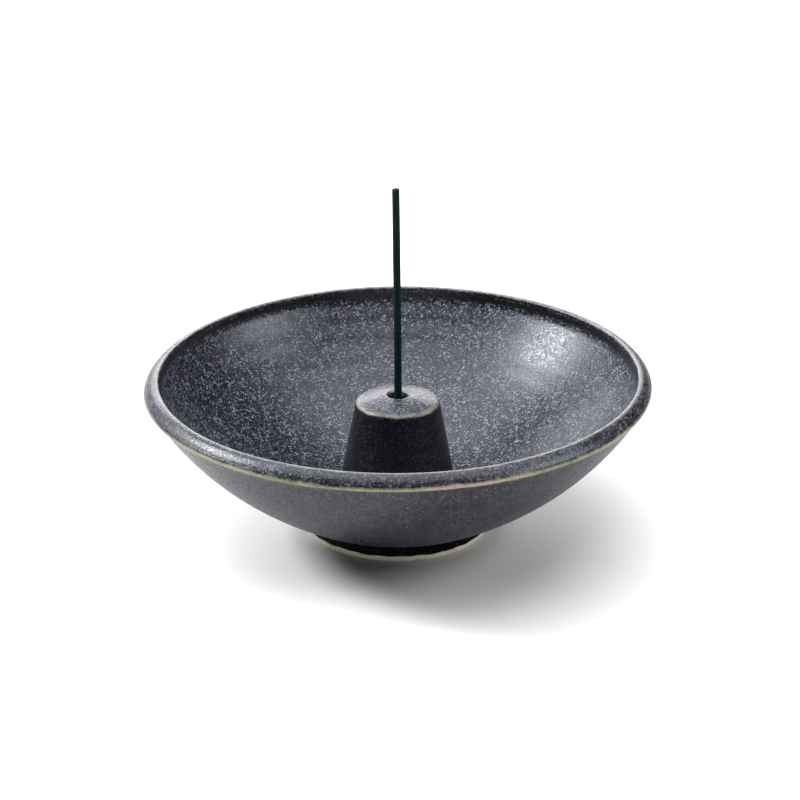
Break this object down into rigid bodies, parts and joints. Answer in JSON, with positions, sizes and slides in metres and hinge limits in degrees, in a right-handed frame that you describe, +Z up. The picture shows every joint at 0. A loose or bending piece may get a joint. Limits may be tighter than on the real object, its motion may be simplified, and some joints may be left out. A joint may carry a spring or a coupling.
{
  "type": "incense burner",
  "caption": "Flared stoneware dish on a turned foot ring, with a cone in the middle that holds an upright incense stick and a wide sloping inside that catches the ash.",
  "frame": {"origin": "centre of the foot ring's resting face", "axes": "+Z up along the axis that the dish, the foot, the cone and the stick share; every piece is turned about it, so X and Y are alike"},
  "size_m": [0.16, 0.16, 0.1128],
  "materials": {
    "charcoal_glaze": "satin",
    "bare_clay": "matte",
    "incense_paste": "matte"
  },
  "bodies": {
    "dish": {"bowl": "charcoal_glaze", "foot_ring": "bare_clay", "stick_holder": "charcoal_glaze"},
    "stick": {"incense_stick": "incense_paste"}
  },
  "joints": [
    {"name": "stick_lift", "type": "slide", "parent": "dish", "child": "stick", "axis": [0, 0, 1], "range_m": [0, 0.05]}
  ]
}
